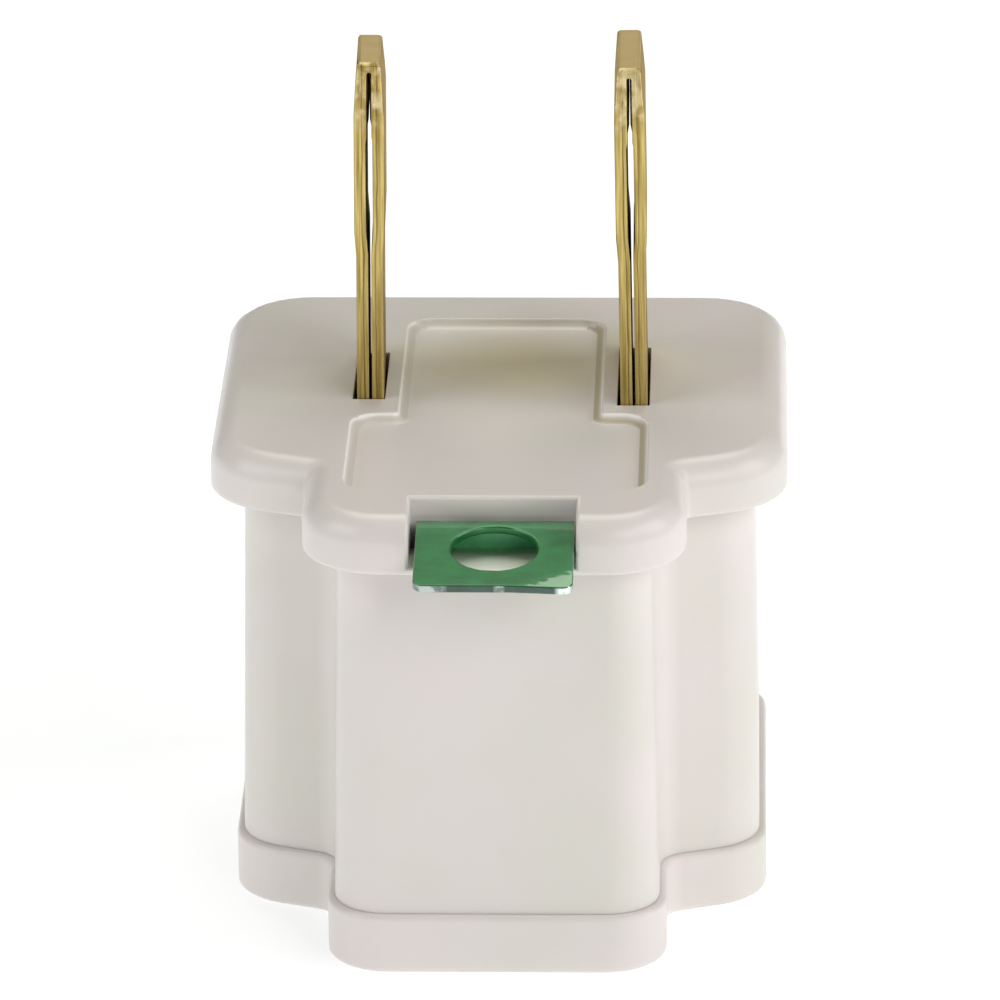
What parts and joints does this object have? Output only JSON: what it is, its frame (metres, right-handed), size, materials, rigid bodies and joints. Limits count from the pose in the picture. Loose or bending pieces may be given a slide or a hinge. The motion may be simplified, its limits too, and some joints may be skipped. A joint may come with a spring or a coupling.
{
  "type": "grounding plug adapter",
  "caption": "Three-to-two blade grounding adapter: moulded T-shaped body with two folded brass blades, a green grounding tab and a receptacle face underneath.",
  "frame": {"origin": "on the receptacle face, midway between the blades and on their centre line", "axes": "+Z out of the plug face along the blades, +X to the right towards the wide neutral blade, -Y towards the grounding tab"},
  "size_m": [0.0274, 0.0352, 0.0399],
  "materials": {
    "housing": "satin warm white moulding",
    "socket_cover": "satin warm white moulding",
    "hot_contact": "rolled strip, bright",
    "neutral_contact": "rolled strip, bright",
    "ground_contact": "rolled strip",
    "ground_tab": "glossy green dye over plating",
    "ground_rivet": "plain"
  },
  "bodies": {
    "root": {"housing": "housing", "socket_cover": "socket_cover", "hot_contact": "hot_contact", "neutral_contact": "neutral_contact", "ground_contact": "ground_contact", "ground_tab": "ground_tab", "ground_rivet": "ground_rivet"}
  },
  "joints": []
}
